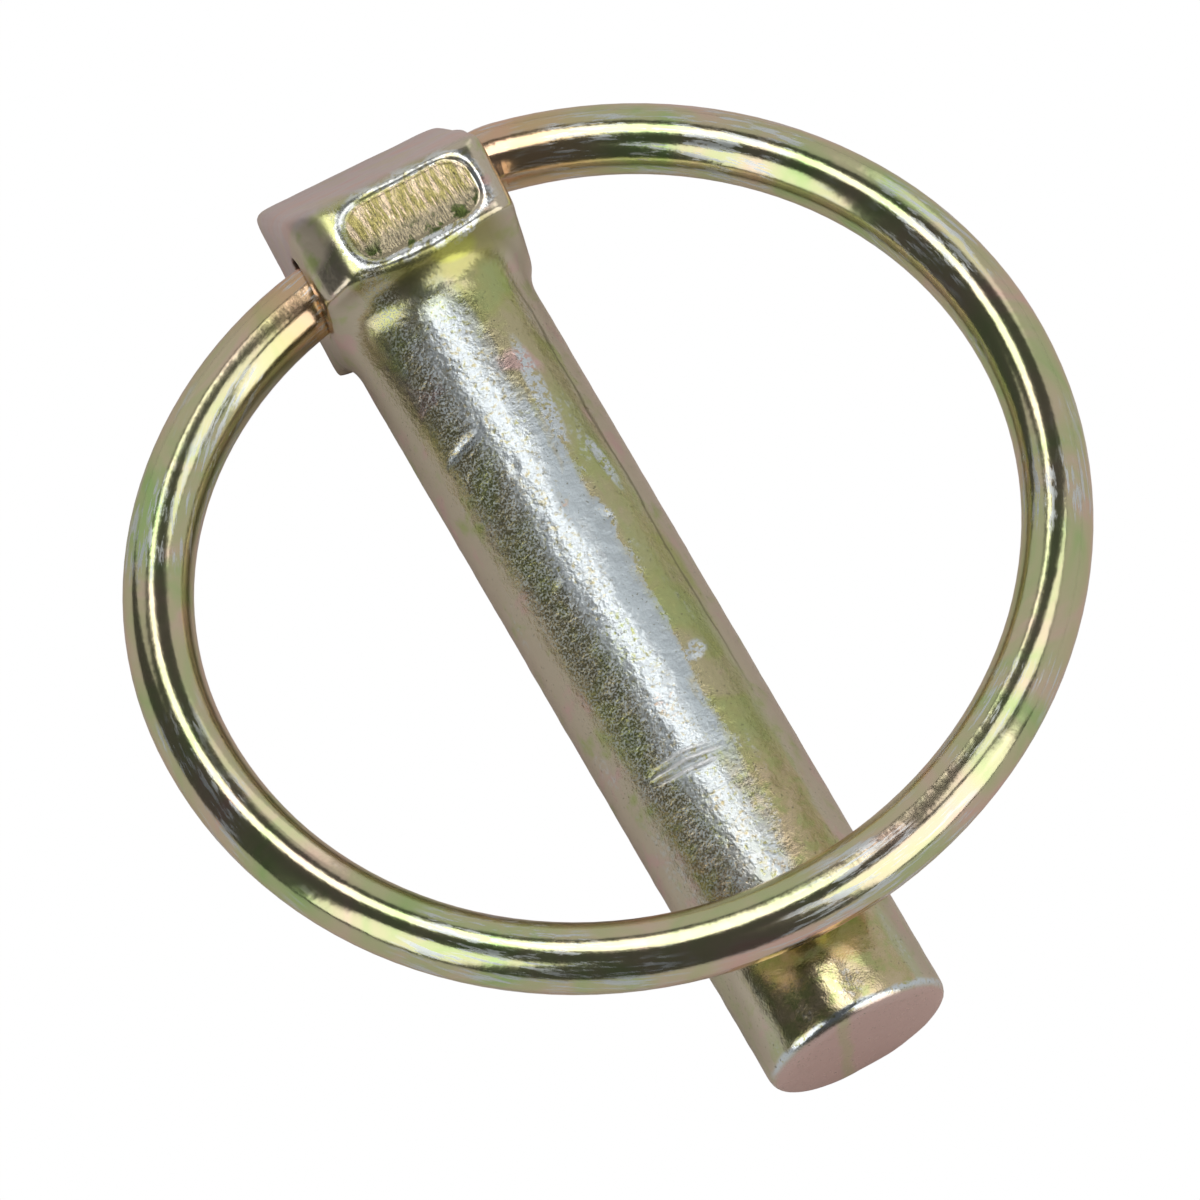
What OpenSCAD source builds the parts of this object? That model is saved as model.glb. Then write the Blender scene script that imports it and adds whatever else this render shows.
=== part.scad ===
// Linch pin with a snap ring: a forged pin with a wedge-topped block head, and a ring of
// round spring wire whose two ends sit in a slanted cross hole through that head.
// Millimetres, +Z up. The pin lies on a surface at z = 0 with its tip towards +Y.
// Every shape is drawn first in the pin's own frame: the origin is on the shank's axis in
// the shoulder plane, +Y runs to the tip and +Z is the outward normal of the front face.

/* [Shank] */
// Diameter of the parallel shank
shank_d = 11; // [8:0.5:14]
// Length from the shoulder under the head to the tip
shank_len = 50.5; // [40:0.5:70]
// Radius of the concave fillet where the shank meets the head
fillet_r = 2.8; // [1.5:0.1:4]
// Rounding of the edge at the tip
tip_round = 0.8; // [0.3:0.1:1.5]
// Depth of the flat that shearing left on the underside at the tip
tip_flat_depth = 0.68; // [0.2:0.02:1]
// Length over which that flat runs out
tip_flat_len = 3; // [1:0.5:6]

/* [Head] */
// Width of the head across the hole
head_w = 12.12; // [11.5:0.02:16]
// Sideways offset of the head from the shank's axis
head_offset = -0.09; // [-0.5:0.01:0.5]
// Distance from the shank's axis to the front face
head_front = 7.3; // [6.5:0.05:9]
// Distance from the shank's axis to the back face
head_back = 6.84; // [6.5:0.02:9]
// Height of the head along its front face
front_h = 5; // [4:0.1:8]
// Height of the head along its back face
back_h = 11.5; // [10:0.1:16]
// Turn of the head about the front face's normal, off square from forging
head_skew = -2; // [-4:0.1:4]
// Rounding along the top of the front face
front_round = 1.2; // [0.5:0.1:2]
// Rounding of the other cross edges
edge_round = 0.5; // [0.3:0.1:1]
// Flat bevel down the corner of the front face on the ring's long side
bevel = 1.7; // [0.8:0.1:2.5]
// Rounding down the other corner of the front face
corner_round = 1.5; // [0.8:0.1:2.5]

/* [Pressed panel] */
// Width of the round-ended panel pressed into the front face
panel_w = 8.1; // [6:0.1:9]
// Height of that panel
panel_h = 4; // [3:0.1:4.4]
// Depth of that panel
panel_depth = 0.2; // [0.1:0.05:0.4]
// Sideways place of that panel's middle
panel_x = -0.75; // [-1.5:0.05:0.5]

/* [Cross hole] */
// Diameter of the hole, which the wire fits loosely
hole_d = 4.8; // [4.6:0.1:5.6]
// Slant of the hole away from square
hole_slant = 9.5; // [0:0.5:12]
// Distance of the hole from the shoulder plane, at the shank's axis
hole_y = 3.8; // [3.5:0.05:5]
// Height of the hole's axis above the shank's axis
hole_z = 0.8; // [0:0.1:1.5]

/* [Ring] */
// Wire diameter
wire_d = 4; // [3:0.1:4.2]
// Radius of the ring, to the wire's centre
ring_r = 25.36; // [22:0.02:32]
// Radius of the tighter arc that leads into the hole on the bevelled side
leg_r = 22.25; // [20:0.05:25]
// Radius of the bend that leads into the hole on the other side
bend_r = 4; // [3.5:0.1:6]
// Sideways offset of the ring's centre along the hole
ring_shift = 2.75; // [1:0.05:4]
// How far the ring's circle would run past the hole's axis
ring_drop = 2.13; // [1.5:0.01:3]
// Offset of each wire end from the hole's axis, in opposite ways
end_offset = 0.25; // [0:0.05:0.4]
// Gap between the two wire ends inside the hole
end_gap = 2.4; // [1:0.1:4]
// Gap between the shut ring and the shank, above the shank's axis
ring_gap = 0.95; // [0.93:0.01:1.5]

/* [Hidden] */
$fn = 96;
shank_r = shank_d / 2;
wire_r = wire_d / 2;
over = 30;

// the end face slopes back from the top of the front face
end_slope = atan((back_h - front_h) / (head_front + head_back));

// ring, drawn in its own plane: x along the hole, y towards the tip
main_c = [ring_shift, ring_r - ring_drop];
leg_turn = asin((leg_r + end_offset - main_c.y) / (ring_r - leg_r));
leg_c = main_c + (ring_r - leg_r) * [cos(leg_turn), sin(leg_turn)];
bend_y = bend_r - end_offset;
bend_c = [
    main_c.x - sqrt(pow(ring_r - bend_r, 2) - pow(main_c.y - bend_y, 2)),
    bend_y
];
bend_turn = 180 + atan((main_c.y - bend_c.y) / (main_c.x - bend_c.x));

// slope of the ring's plane up from the pin, which sets the gap over the shank
reach = main_c.y + sqrt(pow(ring_r, 2) - pow(main_c.y * tan(hole_slant) - ring_shift, 2));
ring_tilt = asin((shank_r + wire_r + ring_gap - hole_z) / reach);

// pitch at which the back of the head and the underside at the tip both touch z = 0:
// the fillet's collar reaches the level of the back face at collar_y
collar_y = fillet_r - sqrt(pow(fillet_r, 2) - pow(shank_r + fillet_r - head_back, 2));
pitch = atan((head_back - shank_r) / (shank_len - tip_flat_len - collar_y));
rest_lift = shank_r * cos(pitch) + (shank_len - tip_flat_len) * sin(pitch);

// middle of the whole part, which goes to x = 0, y = 0
mid_x = main_c.x * cos(hole_slant) - main_c.y * cos(ring_tilt) * sin(hole_slant);
tip_end = (shank_len - tip_round) * cos(pitch) + (shank_r - tip_round) * sin(pitch)
    + tip_round;
back_end = back_h + edge_round - edge_round / tan(45 - end_slope / 2)
    + (head_w / 2 - edge_round) * sin(abs(head_skew));
head_end = back_end * cos(pitch) + (head_back - edge_round) * sin(pitch);
mid_y = (tip_end - head_end) / 2;

function unit(v) = v / norm(v);

// polygon with each corner rounded by its own radius
module rounded(points, radii) {
    n = len(points);
    to_last = [for (i = [0:n - 1]) unit(points[(i + n - 1) % n] - points[i])];
    to_next = [for (i = [0:n - 1]) unit(points[(i + 1) % n] - points[i])];
    half = [for (i = [0:n - 1]) acos(to_last[i] * to_next[i]) / 2];
    polygon([
        for (i = [0:n - 1], side = [0, 1])
            points[i] + radii[i] / tan(half[i]) * (side == 0 ? to_last[i] : to_next[i])
    ]);
    for (i = [0:n - 1])
        translate(points[i] + radii[i] / sin(half[i]) * unit(to_last[i] + to_next[i]))
            circle(r = radii[i]);
}

module rest() {
    translate([-mid_x, -mid_y, rest_lift])
        rotate([-pitch, 0, 0])
            children();
}

// ---- pin -------------------------------------------------------------------------------
module shank() {
    rotate([-90, 0, 0])
        rotate_extrude() {
            square([shank_r, shank_len - tip_round]);
            square([shank_r - tip_round, shank_len]);
            intersection() {
                translate([shank_r - tip_round, shank_len - tip_round])
                    circle(r = tip_round);
                square([shank_r, shank_len]);
            }
        }
}

// ramp that the shear left on the underside, shallow at its start and deepest at the tip
module tip_flat() {
    translate([0, shank_len - tip_flat_len, -shank_r])
        rotate([atan(tip_flat_depth / tip_flat_len), 0, 0])
            translate([-shank_r, 0, -shank_r])
                cube([shank_d, over, shank_r]);
}

// collar with a concave side, wider than the head where they meet, so the head trims it
module fillet() {
    rotate([-90, 0, 0])
        rotate_extrude()
            difference() {
                square([shank_r + fillet_r, fillet_r]);
                translate([shank_r + fillet_r, fillet_r])
                    circle(r = fillet_r);
            }
}

// the head and its fillet turn together about the point where the parallel shank starts
module skewed() {
    translate([0, fillet_r, 0])
        rotate([0, 0, head_skew])
            translate([0, -fillet_r, 0])
                children();
}

// section across the shank: one bevelled and one rounded front corner
module head_section(length) {
    half = head_w / 2;
    rotate([90, 0, 0])
        translate([head_offset, 0, 0])
            linear_extrude(height = length * 2, center = true)
                rounded(
                    [
                        [-half, -head_back], [half, -head_back],
                        [half, head_front - bevel], [half - bevel, head_front],
                        [-half, head_front]
                    ],
                    [edge_round, edge_round, edge_round, edge_round, corner_round]
                );
}

module head_side() {
    rotate([90, 0, 90])
        linear_extrude(height = over, center = true)
            rounded(
                [
                    [0, -head_back], [0, head_front],
                    [-front_h, head_front], [-back_h, -head_back]
                ],
                [edge_round, 0.2, front_round, edge_round]
            );
}

// prism along the end slope, so the end face has rounded side edges too
module head_end() {
    translate([head_offset, -front_h, head_front])
        rotate([-end_slope, 0, 0])
            linear_extrude(height = over * 2, center = true)
                rounded(
                    [
                        [-head_w / 2, 0], [head_w / 2, 0],
                        [head_w / 2, over], [-head_w / 2, over]
                    ],
                    [edge_round, edge_round, 1, 1]
                );
}

module panel() {
    translate([panel_x, -front_h / 2, head_front - panel_depth])
        linear_extrude(height = 1)
            rounded(
                [
                    [-panel_w / 2, -panel_h / 2], [panel_w / 2, -panel_h / 2],
                    [panel_w / 2, panel_h / 2], [-panel_w / 2, panel_h / 2]
                ],
                [panel_h * 0.36, panel_h * 0.49, panel_h * 0.49, panel_h * 0.36]
            );
}

module on_hole() {
    translate([0, -hole_y, hole_z])
        rotate([0, 0, hole_slant])
            children();
}

module pin() {
    color([0.66, 0.6, 0.38])
        rest()
            difference() {
                union() {
                    shank();
                    skewed()
                        intersection() {
                            head_section(back_h);
                            head_side();
                            head_end();
                        }
                    skewed()
                        intersection() {
                            head_section(fillet_r * 2);
                            fillet();
                        }
                }
                tip_flat();
                skewed()
                    panel();
                on_hole()
                    rotate([0, 90, 0])
                        cylinder(d = hole_d, h = over, center = true);
            }
}

// ---- ring ------------------------------------------------------------------------------
module wire_arc(centre, radius, from, turn) {
    translate([centre.x, centre.y, 0])
        rotate([0, 0, from])
            rotate_extrude(angle = turn)
                translate([radius, 0])
                    circle(d = wire_d);
}

module wire_end(from_x, to_x, y) {
    translate([min(from_x, to_x), y, 0])
        rotate([0, 90, 0])
            cylinder(d = wire_d, h = abs(to_x - from_x));
}

module ring() {
    color([0.7, 0.62, 0.34])
        rest()
            on_hole()
                rotate([ring_tilt, 0, 0]) {
                    wire_end(end_gap / 2, leg_c.x, end_offset);
                    wire_arc(leg_c, leg_r, -90, 90 + leg_turn);
                    wire_arc(main_c, ring_r, leg_turn, bend_turn - leg_turn);
                    wire_arc(bend_c, bend_r, bend_turn, 270 - bend_turn);
                    wire_end(bend_c.x, -end_gap / 2, -end_offset);
                }
}

pin();
ring();
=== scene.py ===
import math
import bpy
from mathutils import Matrix, Vector
from mathutils.noise import noise as hammer_noise


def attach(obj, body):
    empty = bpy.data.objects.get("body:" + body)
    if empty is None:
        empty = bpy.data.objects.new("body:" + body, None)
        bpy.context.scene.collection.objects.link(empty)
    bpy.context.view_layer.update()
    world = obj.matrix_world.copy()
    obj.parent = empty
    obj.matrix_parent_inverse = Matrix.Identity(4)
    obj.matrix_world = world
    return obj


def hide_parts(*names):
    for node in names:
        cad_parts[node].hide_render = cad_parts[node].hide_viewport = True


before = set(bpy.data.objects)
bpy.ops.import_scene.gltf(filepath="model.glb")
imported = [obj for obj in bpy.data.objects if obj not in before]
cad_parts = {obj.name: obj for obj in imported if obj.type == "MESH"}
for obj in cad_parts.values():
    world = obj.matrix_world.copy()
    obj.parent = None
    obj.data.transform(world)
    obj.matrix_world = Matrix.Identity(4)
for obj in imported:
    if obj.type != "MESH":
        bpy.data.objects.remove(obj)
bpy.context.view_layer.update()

# Camera: a long lens far above the pin, looking down on it from the tip's side, so the
# head's sloping end, the underside of the head and the flat end of the tip all show.
LOOK_FROM = (0.10353, 0.27933, 0.79621)
LOOK_TURN = (20.329, 3.1902, 151.2657)
LENS_ANGLE = 4.547
NEAREST, FURTHEST = 0.1, 10

lens = bpy.data.cameras.new("camera")
lens.lens_unit = "FOV"
lens.angle = math.radians(LENS_ANGLE)
lens.clip_start, lens.clip_end = NEAREST, FURTHEST
camera = bpy.data.objects.new("camera", lens)
camera.location = LOOK_FROM
camera.rotation_euler = [math.radians(angle) for angle in LOOK_TURN]
bpy.context.scene.collection.objects.link(camera)
bpy.context.scene.camera = camera
bpy.context.scene.view_settings.view_transform = "Standard"


# Studio: a white table in a dim room. A narrow lamp overhead draws the light along the
# shank, soft boxes stand either side, and dim panels stand behind. Seen directly, the
# room is white, and the table is white and half clear, as the ring can swing past its top.
WHITE = (1, 1, 1, 1)
ROOM_COLOUR = (0.95, 0.98, 1, 1)
ROOM_GLOW = 0.08
TABLE_COLOUR = (0.8, 0.8, 0.8, 1)
TABLE_WIDTH = 3
TABLE_CLEARNESS = 0.6
LAMPS = [
    # name, azimuth and elevation in degrees, distance, width and height in metres, radiance
    ("top_lamp", -80, 71, 0.65, 0.2, 0.5, 2.6),
    ("edge_lamp", -178, 61, 0.65, 0.28, 0.3, 1.5),
    ("east_box", 16, 29, 0.75, 0.4, 0.62, 1.5),
    ("north_box", 121, 33, 0.75, 0.5, 0.8, 1.7),
    ("west_panel", 185, 23, 0.75, 1.4, 0.62, 0.5),
    ("south_panel", 262, 23, 0.75, 1.3, 0.62, 0.5),
]


def soft_lamp(name, azimuth, elevation, distance, width, height, radiance):
    lamp = bpy.data.lights.new(name, "AREA")
    lamp.shape = "RECTANGLE"
    lamp.size, lamp.size_y = width, height
    lamp.energy = radiance * math.pi * width * height
    turn, climb = math.radians(azimuth), math.radians(elevation)
    way = Vector((math.cos(turn) * math.cos(climb),
                  math.sin(turn) * math.cos(climb),
                  math.sin(climb)))
    stand = bpy.data.objects.new(name, lamp)
    stand.location = way * distance
    stand.rotation_mode = "QUATERNION"
    stand.rotation_quaternion = (-way).to_track_quat("-Z", "Y")
    bpy.context.scene.collection.objects.link(stand)


for row in LAMPS:
    soft_lamp(*row)


def empty_tree(owner):
    owner.use_nodes = True
    owner.node_tree.nodes.clear()
    return owner.node_tree


def add(tree, kind, sockets=(), **settings):
    # each socket takes a number, a colour, or what another node gives out
    node = tree.nodes.new("ShaderNode" + kind)
    for name, value in settings.items():
        setattr(node, name, value)
    for key, value in dict(sockets).items():
        value = getattr(value, "socket", value)
        if isinstance(value, bpy.types.NodeSocket):
            tree.links.new(value, node.inputs[key])
        else:
            node.inputs[key].default_value = value
    return node


world = bpy.data.worlds.new("studio")
bpy.context.scene.world = world
tree = empty_tree(world)
seen = add(tree, "LightPath").outputs["Is Camera Ray"]
room = add(tree, "Background", {"Color": ROOM_COLOUR, "Strength": ROOM_GLOW})
white = add(tree, "Background", {"Color": WHITE, "Strength": 1})
mix = add(tree, "MixShader", {0: seen, 1: room.outputs[0], 2: white.outputs[0]})
add(tree, "OutputWorld", {"Surface": mix.outputs[0]})

bpy.ops.object.select_all(action="DESELECT")
bpy.ops.mesh.primitive_plane_add(size=TABLE_WIDTH, location=(0, 0, 0))
table = bpy.context.object
table.name = "table"
table.visible_shadow = False
paint = bpy.data.materials.new("white_table")
tree = empty_tree(paint)
seen = add(tree, "LightPath").outputs["Is Camera Ray"]
matt = add(tree, "BsdfDiffuse", {"Color": TABLE_COLOUR})
glow = add(tree, "Emission", {"Color": WHITE, "Strength": 1})
clear = add(tree, "BsdfTransparent", {"Color": WHITE})
pale = add(tree, "MixShader", {0: TABLE_CLEARNESS, 1: glow.outputs[0], 2: clear.outputs[0]})
mix = add(tree, "MixShader", {0: seen, 1: matt.outputs[0], 2: pale.outputs[0]})
add(tree, "OutputMaterial", {"Surface": mix.outputs[0]})
table.data.materials.append(paint)


# Pin: one steel forging, zinc plated and yellow passivated. The passivation is a thin
# clear film, so its colour drifts between gold, green and rose. The hammered skin, the
# worn edges and the dents are in the mesh, the finer scratches in the finish.
SKIN_STEP = 0.00021
DOUBLES = 0.000002

# from here on the pin is measured in mm, in its own directions: across the shank, along it
# from the head's underside towards the tip, and up
MM = 1000
PIN_TILT = math.radians(1.630)
PIN_PLACE = (-1.074, 19.6992, -6.2914)
HOLE_ALONG, HOLE_UP, HOLE_LEAN = -3.8, 0.8, 0.167
HOLE_RIM = (2.45, 3.3)
HEAD_END = (-0.6, 2.5)
SHANK_START, SHANK_END = (1, 5), (49.5, 50.3)
HAMMER_DEPTH, HAMMER_GRAIN = 0.022, 0.75
HAMMER_CLEAR = (2.5, 3.2)
PEEL_DEPTH, PEEL_GRAIN = 0.012, 2.1
PANEL_MIDDLE = (-0.93, -2.45)
PANEL_HALF = (4.05, 2.0)
PANEL_CORNER = 1.7
PANEL_DEPTH = 0.16
PANEL_ABOVE, PANEL_BEFORE = 5.5, 0.5
LIP_HEIGHT, LIP_MIDDLE, LIP_WIDTH, LIP_GRAIN = 0.05, 0.2, 0.24, 0.9
DENTS = [
    # middle, half size, depth, turn
    ((3.0, 10.5), (1.15, 0.26), 0.1, 12),
    ((2.6, 32.7), (1.0, 0.16), 0.07, -6),
    ((1.6, 33.2), (1.7, 0.14), 0.08, -8),
    ((0.4, 33.7), (1.2, 0.13), 0.06, -8),
    ((-2.4, 27.4), (0.5, 0.35), 0.1, 30),
    ((-1.7, 18.2), (0.45, 0.4), 0.07, 0),
    ((-3.3, 14.6), (0.25, 0.9), 0.05, 5),
    ((2.4, 20.5), (0.4, 0.3), 0.06, 20),
    ((-2.9, 36.4), (0.4, 0.5), 0.07, 40),
    ((1.2, 13.1), (0.3, 0.5), 0.05, -20),
]
DENT_REACH = 4
BURR_HEIGHT, BURR_MIDDLE, BURR_WIDTH = 0.3, 1.5, 0.35

# a copy of the plain pin, in even small faces
bpy.ops.object.select_all(action="DESELECT")
pin = bpy.data.objects.new("forged_pin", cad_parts["pin"].data.copy())
bpy.context.scene.collection.objects.link(pin)
bpy.context.view_layer.objects.active = pin
pin.select_set(True)
bpy.ops.object.mode_set(mode="EDIT")
bpy.ops.mesh.select_all(action="SELECT")
bpy.ops.mesh.remove_doubles(threshold=DOUBLES)
bpy.ops.mesh.normals_make_consistent(inside=False)
bpy.ops.object.mode_set(mode="OBJECT")
skin = pin.modifiers.new("skin", "REMESH")
skin.mode = "VOXEL"
skin.voxel_size = SKIN_STEP
skin.use_smooth_shade = True
bpy.ops.object.modifier_apply(modifier="skin")

table_to_pin = Matrix.Rotation(PIN_TILT, 4, "X")
table_to_pin.translation = PIN_PLACE


def in_pin(point):
    return table_to_pin @ (point * MM)


def step(value, low, high):
    share = min(max((value - low) / (high - low), 0), 1)
    return share * share * (3 - 2 * share)


def from_hole(at):
    return math.hypot(at.y - HOLE_ALONG - at.x * HOLE_LEAN, at.z - HOLE_UP)


# the die leaves the head's edges rounder than the shank's, and the hole stays sharp
head_group = pin.vertex_groups.new(name="head")
body_group = pin.vertex_groups.new(name="all")
for vertex in pin.data.vertices:
    at = in_pin(vertex.co)
    clear_of_hole = step(from_hole(at), *HOLE_RIM)
    on_head = 1 - step(at.y, *HEAD_END)
    head_group.add([vertex.index], on_head * clear_of_hole, "REPLACE")
    body_group.add([vertex.index], clear_of_hole, "REPLACE")
for name, group, turns in (("soften", "all", 3), ("soften_head", "head", 42)):
    relax = pin.modifiers.new(name, "SMOOTH")
    relax.factor = 0.5
    relax.iterations = turns
    relax.vertex_group = group
    bpy.ops.object.modifier_apply(modifier=name)


def hammered(at, on_shank):
    wide = HAMMER_DEPTH * hammer_noise(at * HAMMER_GRAIN)
    small = PEEL_DEPTH * hammer_noise(at * PEEL_GRAIN) * (0.4 + 0.6 * on_shank)
    return (wide + small) * step(from_hole(at), *HAMMER_CLEAR)


def pressed_panel(at):
    # sunk, with round corners, inside a ragged lip of steel that the die pushed up
    past_x = max(abs(at.x - PANEL_MIDDLE[0]) - PANEL_HALF[0] + PANEL_CORNER, 0)
    past_y = max(abs(at.y - PANEL_MIDDLE[1]) - PANEL_HALF[1] + PANEL_CORNER, 0)
    edge = math.hypot(past_x, past_y) - PANEL_CORNER
    ragged = 0.5 + hammer_noise(at * LIP_GRAIN)
    lip = LIP_HEIGHT * ragged * math.exp(-((edge - LIP_MIDDLE) / LIP_WIDTH) ** 2)
    return lip - PANEL_DEPTH * (1 - step(edge, -0.4, 0.1))


def in_ellipse(x, y, half, turn):
    # x and y along the axes of a turned ellipse, each 1 at its edge
    cosine, sine = math.cos(math.radians(turn)), math.sin(math.radians(turn))
    return (x * (cosine / half[0]) + y * (sine / half[0]),
            y * (cosine / half[1]) - x * (sine / half[1]))


def dented(at):
    # each dent is a flat-bottomed dimple with a low burr round it
    lift = 0
    for middle, half, depth, turn in DENTS:
        x, y = at.x - middle[0], at.y - middle[1]
        if abs(x) + abs(y) < DENT_REACH:
            out = math.hypot(*in_ellipse(x, y, half, turn))
            burr = BURR_HEIGHT * math.exp(-((out - BURR_MIDDLE) / BURR_WIDTH) ** 2)
            lift += depth * (burr - math.exp(-out ** 4))
    return lift


normals = [vertex.normal.copy() for vertex in pin.data.vertices]
for vertex, normal in zip(pin.data.vertices, normals):
    at = in_pin(vertex.co)
    on_shank = step(at.y, *SHANK_START) * (1 - step(at.y, *SHANK_END))
    lift = hammered(at, on_shank)
    if at.z > PANEL_ABOVE and at.y < PANEL_BEFORE:
        lift += pressed_panel(at)
    if at.z > 0 and on_shank > 0:
        lift += dented(at)
    vertex.co += normal * lift / MM
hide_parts("pin")
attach(pin, "pin_body")


class Layer:
    # a number or a colour that changes over the surface; layers add and multiply
    def __init__(self, socket):
        self.socket = socket
        self.tree = socket.id_data

    def __add__(self, other):
        return maths("ADD", self, other)

    def __sub__(self, other):
        return maths("SUBTRACT", self, other)

    def __rsub__(self, other):
        return maths("SUBTRACT", other, self)

    def __mul__(self, other):
        return maths("MULTIPLY", self, other)

    def __abs__(self):
        return maths("ABSOLUTE", self)


def maths(operation, a, b=0.0):
    tree = (a if isinstance(a, Layer) else b).tree
    return Layer(add(tree, "Math", {0: a, 1: b}, operation=operation).outputs[0])


def most(*layers):
    highest = layers[0]
    for layer in layers[1:]:
        highest = maths("MAXIMUM", highest, layer)
    return highest


def rise(layer, low, high):
    # 0 where the layer is below low, 1 where it is above high
    node = add(layer.tree, "MapRange", {"Value": layer, "From Min": low, "From Max": high},
               interpolation_type="SMOOTHSTEP")
    return Layer(node.outputs["Result"])


def fall(layer, low, high):
    return 1.0 - rise(layer, low, high)


def scaled(place, scale, **moves):
    node = add(place.tree, "Mapping", {"Vector": place, "Scale": scale, **moves})
    return Layer(node.outputs[0])


def split(place):
    return [Layer(output) for output in add(place.tree, "SeparateXYZ", {0: place}).outputs]


def noise(place, scale, detail, roughness, distortion=0.0):
    node = add(place.tree, "TexNoise", {"Vector": place, "Scale": scale, "Detail": detail,
                                        "Roughness": roughness, "Distortion": distortion})
    return Layer(node.outputs["Fac"])


def spot(flat, middle, half, turn=0.0):
    # 1 inside an ellipse drawn on the top of the pin, 0 past its soft edge
    x, y = in_ellipse(flat[0] - middle[0], flat[1] - middle[1], half, turn)
    return fall(x * x + y * y, 0.5, 1.6)


def ramp(layer, *stops):
    node = add(layer.tree, "ValToRGB", {"Fac": layer})
    points = node.color_ramp.elements
    while len(points) < len(stops):
        points.new(0.5)
    for point, (at, colour) in zip(points, stops):
        point.position = at
        point.color = (*colour, 1)
    return Layer(node.outputs["Color"])


def over(under, colour, where):
    # lays a colour over another one where the layer `where` is 1
    under, colour = [value if isinstance(value, Layer) else (*value, 1)
                     for value in (under, colour)]
    node = add(where.tree, "Mix", {0: where, 6: under, 7: colour}, data_type="RGBA")
    return Layer(node.outputs[2])


def plated(tree, colour, rough, height, strength, distance, edge_tint):
    bump = add(tree, "Bump", {"Height": height, "Strength": strength, "Distance": distance})
    metal = add(tree, "BsdfPrincipled", {
        "Base Color": colour, "Metallic": 1, "Roughness": rough,
        "Specular Tint": (*edge_tint, 1), "Normal": bump.outputs[0]})
    add(tree, "OutputMaterial", {"Surface": metal.outputs[0]})


GREEN = (0.47, 0.52, 0.23)
OLIVE = (0.5, 0.5, 0.22)
GOLD = (0.56, 0.5, 0.3)
AMBER = (0.6, 0.5, 0.28)
SAND = (0.68, 0.54, 0.36)
TAN = (0.64, 0.56, 0.43)
ROSE = (0.7, 0.5, 0.45)
LILAC_SHEEN = (0.66, 0.57, 0.57)
TIP_GREEN = (0.54, 0.56, 0.34)
NECK_PAINTED_SHADE = (0.4, 0.37, 0.15)
NECK_PAINTED_HIGHLIGHT = (0.5, 0.5, 0.13)
END_ROSE = (0.64, 0.46, 0.41)
PANEL_OLIVE = (0.46, 0.4, 0.15)
PANEL_PEACH = (0.82, 0.66, 0.46)
PANEL_BROWN = (0.42, 0.36, 0.24)
PANEL_BLOT = (0.1, 0.13, 0.04)
ZINC = (0.7, 0.75, 0.77)
DULL_ZINC = (0.56, 0.62, 0.65)
BRIGHT = (0.86, 0.87, 0.86)
GRIME_AND_PAINTED_REFLECTION = (0.16, 0.15, 0.08)
PIN_EDGE_TINT = (1.0, 0.88, 0.84)
PIN_ROUGHNESS = 0.17
SCUFFS = [
    # middle, half size, turn
    ((3.0, 10.5), (1.2, 0.35), 12),
    ((-2.4, 27.4), (0.8, 0.5), 30),
    ((-1.7, 18.2), (0.6, 0.9), 0),
    ((-3.4, 15.0), (0.3, 1.8), 5),
    ((-2.2, 10.0), (0.5, 3.5), -4),
]

steel = bpy.data.materials.new("plated_pin")
tree = empty_tree(steel)
place = scaled(Layer(add(tree, "TexCoord").outputs["Object"]), (MM, MM, MM),
               Location=PIN_PLACE, Rotation=(PIN_TILT, 0, 0))
across, along, up = split(place)
flat = (across, along)
drift = noise(place, 0.22, 3, 0.6)
cloud = noise(scaled(place, (0.5, 0.16, 0.5)), 1.0, 4, 0.6)
peel = noise(place, 1.6, 4, 0.6)
speck = noise(place, 3.6, 4, 0.6)
fine = noise(place, 8.0, 3, 0.6)
wander = (cloud - 0.5) * 3.0
on_shank = rise(along, 0.5, 4.0)
on_head = 1.0 - on_shank
on_top = rise(up, 0.0, 2.0)
on_tip = rise(along, 43.0, 45.5)
end_face = rise(along, 50.0, 50.35)
sloped_end = fall(along, -5.3, -4.6) * 0.85

# film: gold and green on top, tan and rose down the sides; on the sides and underneath, the
# tan and rose are partly the film's own drift and partly a painted reflection of the white
# table, which the plating shows at a grazing angle
film = ramp(drift, (0.34, GREEN), (0.44, OLIVE), (0.52, GOLD), (0.62, GOLD), (0.7, ROSE))
side_film_and_reflection = ramp(noise(place, 0.4, 3, 0.6),
                 (0.32, GREEN), (0.45, TAN), (0.56, TAN), (0.68, ROSE))
outer = rise(abs(across) + wander, 3.5, 4.4)
film = over(film, side_film_and_reflection, most(outer, fall(up, 1.0, 3.0)))
film = over(film, TIP_GREEN, rise(along, 38.0, 44.0) * rise(cloud, 0.44, 0.56) * 0.6)
green_side = on_shank * spot(flat, (-3.2, 24.0), (1.1, 16.0)) * rise(cloud, 0.4, 0.6)
film = over(film, GREEN, green_side * 0.6)
# painted shade and painted highlight where the head meets the shank: a darker brown band in
# the fillet under the head, and a yellow glint in it
film = over(film, NECK_PAINTED_SHADE, spot(flat, (-1.6, 0.5), (3.4, 1.2)) * on_top * 0.8)
# painted highlight: the yellow glint in that fillet
film = over(film, NECK_PAINTED_HIGHLIGHT, spot(flat, (-1.9, 0.5), (1.3, 0.5)) * on_top)
# warmer towards the tip, rosy on both ends
warm_film = ramp(noise(place, 0.9, 4, 0.6), (0.4, OLIVE), (0.5, AMBER), (0.62, SAND))
film = over(film, warm_film, rise(along, 32.0, 36.0) * on_top * fall(outer, 0.2, 0.9) * 0.8)
# the head's sloped end: tan, lilac and rose, partly the film and partly a painted sheen of
# the room it reflects at a grazing angle
slope_film_and_sheen = ramp(noise(place, 0.3, 3, 0.55), (0.36, TAN), (0.5, LILAC_SHEEN), (0.68, ROSE))
film = over(film, slope_film_and_sheen, sloped_end)
green_band = fall(abs(across + cloud - 1.5), 0.1, 0.6) * 0.5
film = over(film, over(END_ROSE, GREEN, green_band), end_face)

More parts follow.
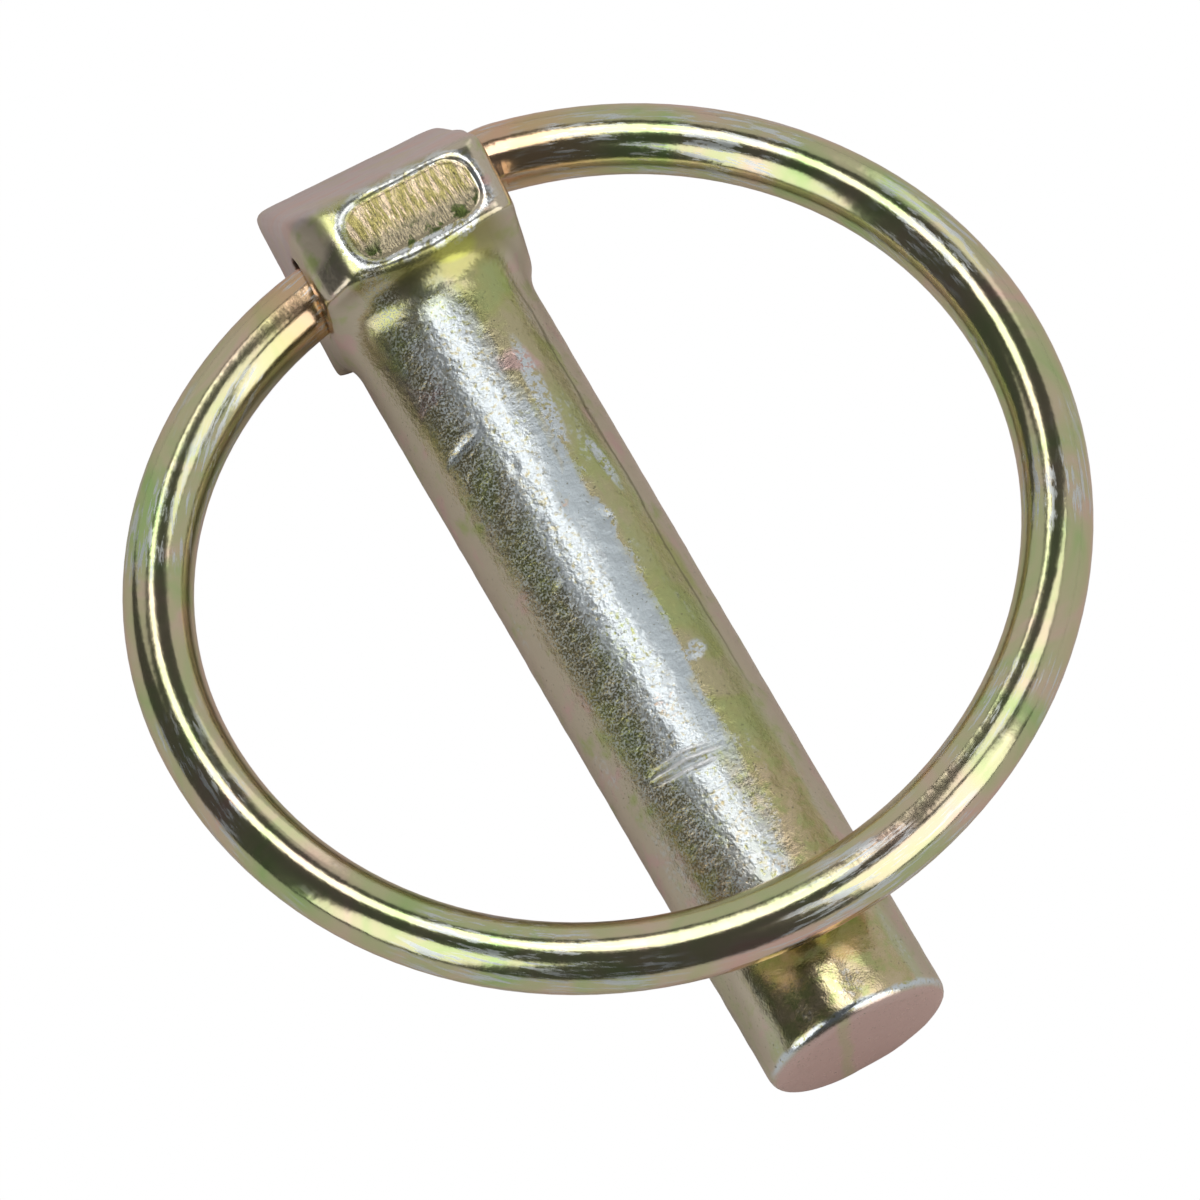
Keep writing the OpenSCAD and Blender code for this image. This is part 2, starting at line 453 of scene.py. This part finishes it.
# wear: the crown of the shank and a scuffed strip beside it, rubbed down to the zinc
lane = across + wander
before_tip = fall(along, 40.5, 44.0)
crown = (rise(lane, -1.6, -0.2) * fall(lane, 1.2, 3.0) * on_shank * on_top * before_tip
         * fall(along, 31.0, 60.0))
strip = spot((lane + (speck - 0.5) * 1.2, along), (-1.0, 22.0), (0.8, 11.0)) * on_top
specks = (spot(flat, (2.9, 24.0), (1.3, 26.0)) * on_top * before_tip
          * rise(fine, 0.5, 0.6) * 0.8)
scuffs = most(*[spot(flat, *scuff) for scuff in SCUFFS]) * on_top * rise(speck, 0.4, 0.52)
# a thin silver line round the tip's rim: edge wear, and also a painted highlight along that
# edge
tip_edge_wear_and_highlight = (rise(along + cloud * 0.6, 50.0, 50.25) * fall(along, 50.0, 50.3) * on_top
            * rise(speck, 0.3, 0.5))
stray = (rise(cloud, 0.56, 0.66) * rise(speck, 0.5, 0.6) * on_shank
         * fall(along, 49.0, 50.0) * 0.5)

# the pressed panel's outline, its ragged bright rim, and the ridges inside it
past_x = most(abs(across - PANEL_MIDDLE[0]) - (PANEL_HALF[0] - PANEL_CORNER), 0.0)
past_y = most(abs(along - PANEL_MIDDLE[1]) - (PANEL_HALF[1] - PANEL_CORNER), 0.0)
edge = maths("SQRT", past_x * past_x + past_y * past_y) - PANEL_CORNER
front = rise(up, 6.4, 6.8) * on_head
ragged = (noise(place, 0.8, 4, 0.6) - 0.5) * 2.4
rim = (front * fall(abs(edge + ragged - LIP_MIDDLE), 0.1, 0.42) * rise(peel, 0.36, 0.54)
       * rise(along, -6.2, -3.4))
panel = front * fall(edge, -0.3, -0.1)
ridges = noise(scaled(place, (3.0, 0.45, 1.0)), 1.0, 4, 0.65)

# short strokes of a file across the top, near the tip
filed = spot(flat, (1.3, 33.0), (1.9, 0.75), -6) * on_top
stroke = maths("SINE", along * 11.4 + across * 1.2 + cloud * 4.0)

worn = maths("MINIMUM", 1.0, (
    crown * rise(speck, 0.3, 0.5) + strip * rise(cloud, 0.3, 0.5) * 0.9 + specks + scuffs
    + rim * 0.9 + tip_edge_wear_and_highlight + stray))
colour = over(film, over(ZINC, DULL_ZINC, strip), worn)
colour = over(colour, BRIGHT, rim * 0.8)
colour = over(colour, BRIGHT, filed * rise(stroke, 0.0, 0.6))

# the panel is browner and blotched dark towards the shank
panel_film = over(PANEL_OLIVE, PANEL_PEACH, rise(ridges, 0.44, 0.6))
panel_film = over(panel_film, PANEL_BROWN, rise(along, -2.6, -1.6))
blots = rise(along, -2.4, -1.2) * rise(noise(place, 0.9, 3, 0.6), 0.52, 0.6)
panel_film = over(panel_film, PANEL_BLOT, blots)
colour = over(colour, panel_film, panel)

# painted reflection: a thin dark line down the far side of the shank, where the plating
# mirrors the dark horizon of the room behind the table; real grime darkens the shank's pits
painted_horizon_line = (on_top * fall(abs(across + (cloud - 0.5) * 0.8 + 4.25), 0.02, 0.12)
            * spot(flat, (-4.2, 16.0), (2.0, 13.0)))
pits = on_shank * on_top * rise(noise(place, 5.0, 2, 0.5), 0.66, 0.72)
colour = over(colour, GRIME_AND_PAINTED_REFLECTION, most(painted_horizon_line, pits) * 0.65)

# the head and the tip are smoother than the shank between them
shank_peel = 1.0 - most(on_head, on_tip) * 0.85
height = (peel * shank_peel + speck * shank_peel * 0.4 + ridges * panel * 1.5
          + stroke * filed * 0.5 + noise(place, 2.5, 3, 0.6) * 0.16
          + fine * rise(along, 42.0, 44.0) * 0.12)
dull_corner = spot(flat, (5.2, -4.2), (1.4, 1.9)) * on_top
rough = (speck * 0.12 + crown * 0.08 + strip * 0.16 + specks * 0.35 + filed * 0.15
         + dull_corner * 0.22 + end_face * 0.12 + sloped_end * 0.1 - on_tip * 0.06
         + PIN_ROUGHNESS)
plated(tree, colour, rough, height, strength=0.75, distance=0.0001,
       edge_tint=PIN_EDGE_TINT)
pin.data.materials.clear()
pin.data.materials.append(steel)


# Ring: drawn spring wire, tumbled smooth and plated in the same bath, so it is glossier
# than the forging. Its ends sit in the head's cross hole, and fine pale rub marks run
# along the outside of the loop.
RING_MIDDLE = (-0.18, 0.34)
HOLE_MOUTHS = -23.5
RING_GREEN = (0.4, 0.56, 0.22)
RING_OLIVE = (0.53, 0.56, 0.3)
RING_GOLD = (0.6, 0.55, 0.34)
RING_SAND = (0.65, 0.54, 0.38)
RING_ROSE = (0.72, 0.48, 0.4)
RING_COPPER_REFLECTION = (0.78, 0.45, 0.28)
RING_ZINC = (0.66, 0.7, 0.72)
RING_EDGE_TINT = (1.0, 0.84, 0.8)
RING_ROUGHNESS = 0.09

wire = bpy.data.materials.new("plated_ring")
tree = empty_tree(wire)
place = scaled(Layer(add(tree, "TexCoord").outputs["Object"]), (MM, MM, MM))
x, y, z = split(place)
x, y = x - RING_MIDDLE[0], y - RING_MIDDLE[1]

# film: green to rose in long drifts; the copper where the wire goes into the hole is a
# painted reflection
tint = ramp(noise(place, 0.15, 3, 0.6, 0.8), (0.3, RING_GREEN), (0.43, RING_OLIVE),
            (0.53, RING_GOLD), (0.6, RING_SAND), (0.72, RING_ROSE))
behind = y - HOLE_MOUTHS
mouth_reflection = fall(maths("SQRT", x * x + behind * behind), 8.0, 13.0)
tint = over(tint, RING_COPPER_REFLECTION, mouth_reflection * 0.6)

# lengthwise scuffs: noise stretched along the loop and fine across it
around = maths("ARCTAN2", y, x)
reach = maths("SQRT", x * x + y * y)
loop = Layer(add(tree, "CombineXYZ", {0: around * 8.0, 1: reach, 2: z}).outputs[0])
scuff = noise(scaled(loop, (1.0, 3.5, 3.5)), 1.0, 5, 0.65)
rubbed = rise(scuff, 0.5, 0.6) * rise(noise(place, 0.12, 2, 0.5), 0.44, 0.54) * 0.8
tint = over(tint, RING_ZINC, rubbed)

height = noise(place, 1.0, 3, 0.5) + scuff * 0.35
rough = noise(place, 2.2, 5, 0.6) * 0.1 + rubbed * 0.22 + RING_ROUGHNESS
plated(tree, tint, rough, height, strength=0.35, distance=0.00004,
       edge_tint=RING_EDGE_TINT)
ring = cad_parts["ring"]
ring.data.materials.clear()
ring.data.materials.append(wire)
